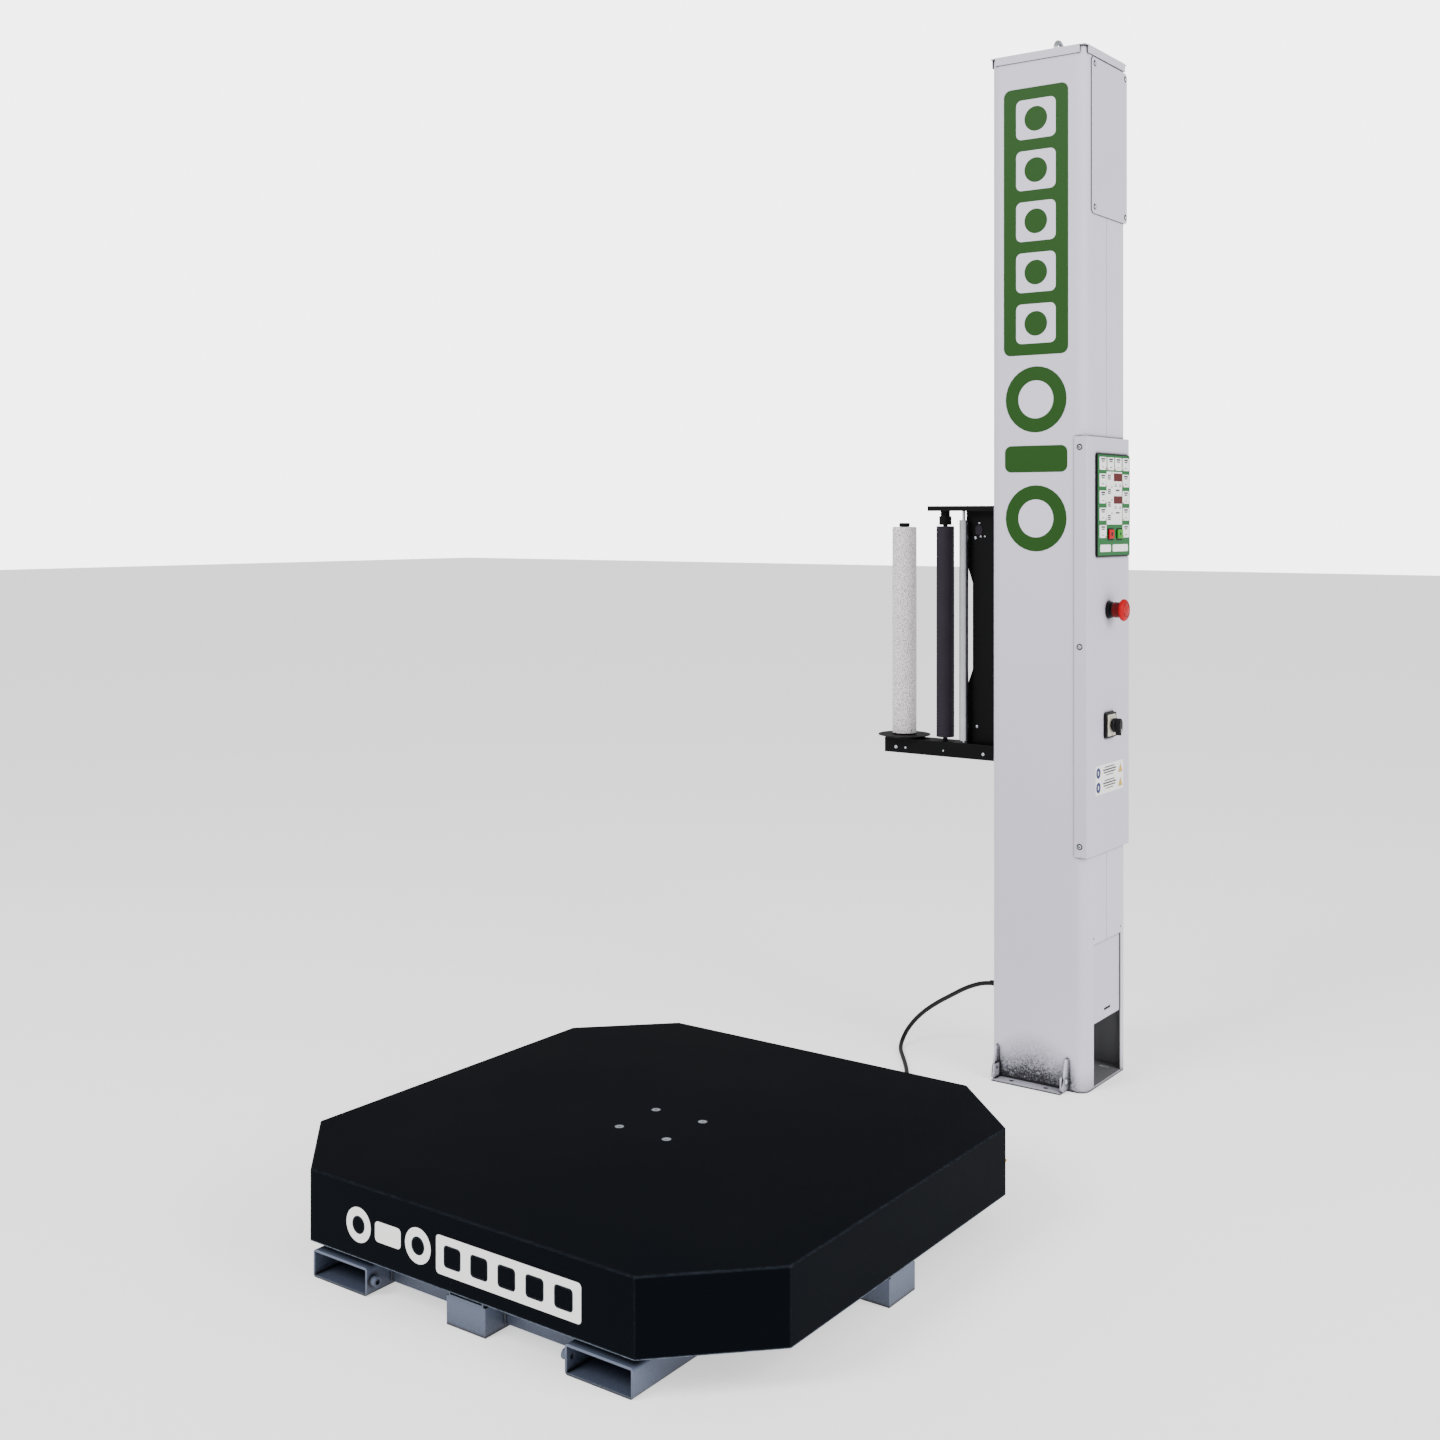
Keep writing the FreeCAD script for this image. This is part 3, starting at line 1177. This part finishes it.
def carriage_screws():
    """The button-head screws on the carriage."""
    items = []
    arm_face = MAST_Y - S.arm_width / 2
    for k, x in enumerate(ARM_SCREWS):
        seat = (x, arm_face, S.arm_bottom + ARM_SCREW_UP)
        items.append(screw(f"arm_screw_{k}", "Y", seat, -1, 5, 3, S.tap_radius, 3))
    for k, (x, down) in enumerate(WEB_SCREWS):
        seat = (WEB_TIP + x, WEB_Y[0], CARRIAGE_TOP - down)
        items.append(screw(f"web_screw_{k}", "Y", seat, -1, 4.5, 3, S.tap_radius, 5))
    return node(grouped("carriage_screws", items))


# ---- cable ---------------------------------------------------------------------------------------------

GLAND_THREAD = 10
GLAND_LENGTH = 30
CLOSER_X = MAST_X - MAST_HALF - CLOSER_THICK
TIE_BACK = TIE_Y + S.tie_size / 2
TIE_MIDDLE = S.tie_lift + S.tie_size / 2
MAST_MOUTH = (CLOSER_X - GLAND_LENGTH, MAST_Y, S.gland_z)
TABLE_MOUTH = (S.table_gland_x, TIE_BACK + GLAND_LENGTH, TIE_MIDDLE)


def cable_gland(name, axis, seat, sign, bore):
    """A cable gland: a hexagon body on the sheet and a domed nut with the cable's hole."""
    body = [
        (bore, 0), (13, 0), (13, 8), (12, 9), (12, 20), (10, 26), (8.5, GLAND_LENGTH), (bore, GLAND_LENGTH),
    ]
    turn = {("X", -1): Rotation(Vector(0, 1, 0), -90), ("Y", 1): TURNS["Y"]}[(axis, sign)]
    item = turned(name, "Z", seat, body)
    item.Placement = Placement(item.Placement.Base, turn)
    return item


def glands():
    """The cable's gland on each unit, and the mast's second gland for the supply lead."""
    bore = S.cable_radius - 1.5
    items = [
        cable_gland("mast_gland", "X", (CLOSER_X, MAST_Y, S.gland_z), -1, bore),
        cable_gland("supply_gland", "X", (CLOSER_X, MAST_Y, S.gland_z - SUPPLY_DROP), -1, bore),
    ]
    node(grouped("mast_cable_glands", items))
    node(cable_gland("table_cable_gland", "Y", (S.table_gland_x, TIE_BACK, TIE_MIDDLE), 1, bore))


# The cable's route between the two glands: X and Y from the mast gland's mouth, Z from the floor
CABLE_ROUTE = [
    (0, 0, 190), (-38, 0, 190), (-92, 2, 170), (-146, 8, 137), (-200, 14, 103), (-242, 7, 68),
    (-262, -18, 35), (-259, -52, 12), (-241, -90, 6), (-210, -134, 6), (-169, -190, 6), (-126, -256, 6),
    (-87, -334, 6), (-54, -420, 6), (-26, -514, 6), (-1, -604, 7), (19, -682, 17), (36, -742, 28),
    (36, -782, 28),
]


def cable_points():
    """The route in the row frame. If sizes change, the points share what the two glands have moved by."""
    mouths = [Vector(*(float(value) for value in mouth)) for mouth in (MAST_MOUTH, TABLE_MOUTH)]
    base = Vector(mouths[0].x, mouths[0].y, 0)
    points = [base + Vector(*point) for point in CABLE_ROUTE]
    moved = [mouth - end for mouth, end in zip(mouths, (points[0], points[-1]))]
    last = len(points) - 3
    shares = [min(max(k - 1, 0) / last, 1) for k in range(len(points))]
    return [point + moved[0] * (1 - share) + moved[1] * share for point, share in zip(points, shares)]


def rounded_path(points):
    """Straight runs joined by tangent arcs, and the smallest and largest arc radius."""
    edges = []
    radii = []
    last = points[0]
    for before, corner, after in zip(points, points[1:], points[2:]):
        into = corner - before
        out = after - corner
        turn = into.getAngle(out)
        run = 0.45 * min(into.Length, out.Length)
        into.normalize()
        out.normalize()
        radii.append(run / math.tan(turn / 2))
        start = corner - into * run
        end = corner + out * run
        middle = corner + (out - into).normalize() * radii[-1] * (1 / math.cos(turn / 2) - 1)
        edges.append(Part.LineSegment(last, start).toShape())
        edges.append(Part.Arc(start, middle, end).toShape())
        last = end
    edges.append(Part.LineSegment(last, points[-1]).toShape())
    return Part.Wire(edges), radii


def connection_cable():
    """The cable between the mast and the table, lying loose on the floor."""
    points = cable_points()
    path, radii = rounded_path(points)
    print("cable radii", [round(radius) for radius in radii], "length", round(path.Length))
    radius = float(S.cable_radius)
    start = (points[1] - points[0]).normalize()
    ring = Part.Wire([Part.makeCircle(radius, points[0], start)])
    tube = path.makePipeShell([ring], True, False)
    print("cable volume share", round(tube.Volume / (math.pi * radius ** 2 * path.Length), 4))
    return node(shaped("connection_cable", tube))


# ---- build, check and write ----------------------------------------------------------------------------

def build():
    """Make every sub-part."""
    fork_tube("fork_tube_left", -1)
    fork_tube("fork_tube_right", 1)
    base_beams()
    support_feet()
    pivot_spindle()
    pivot_bearing()
    hub_flange()
    deck_bolts()
    deck()
    for number, (x_side, y_side) in enumerate(WHEEL_CORNERS, start=1):
        support_wheel(number, x_side, y_side)
    wheel_forks()
    wheel_axles()
    table_chain_ring()
    table_drive()
    drive_chain()
    column_half("column_front", -1)
    column_half("column_rear", 1)
    slot_closer()
    mast_base_plate()
    service_plate()
    top_cap()
    lifting_eye()
    floor_bracket()
    upper_cover()
    control_cover()
    mast_screws()
    control_box()
    keypad()
    key_button("stop_button", STOP_Y)
    key_button("start_button", START_Y)
    emergency_stop()
    main_switch()
    guide_rails()
    lift_gearmotor()
    lift_sprocket("top_sprocket", TOP_SHAFT_Z)
    lift_sprocket("bottom_sprocket", LOW_SHAFT_Z)
    idler_axle()
    lift_chain()
    trolley()
    slide_shoes()
    carriage_back()
    carriage_arm()
    carriage_top()
    mandrel()
    roller("brake_roller", BRAKE_X, MAST_Y, S.brake_radius, 6, ROLLER_LOW, ROLLER_HIGH)
    roller("idle_roller", IDLE_X, IDLE_Y, S.idle_radius, 4, ROLLER_LOW - 4, ROLLER_HIGH + 16)
    brake_hub()
    carriage_screws()
    glands()
    connection_cable()


def check_and_write():
    """Stop on any failed object or bad shape, then write each sub-part to its own file."""
    DOC.recompute()
    failed = [item.Name for item in DOC.Objects if {"Invalid", "Error"} & set(item.State)]
    if failed:
        raise RuntimeError(f"failed objects: {failed}")
    for item in NODES:
        if item.Shape.isNull() or not item.Shape.isValid() or not item.Shape.Solids:
            raise RuntimeError(f"bad shape: {item.Label}")
    os.makedirs("parts", exist_ok=True)
    for item in NODES:
        item.Shape.exportStep(f"parts/{item.Label}.step")
    print(len(NODES), "nodes written")


build()
check_and_write()
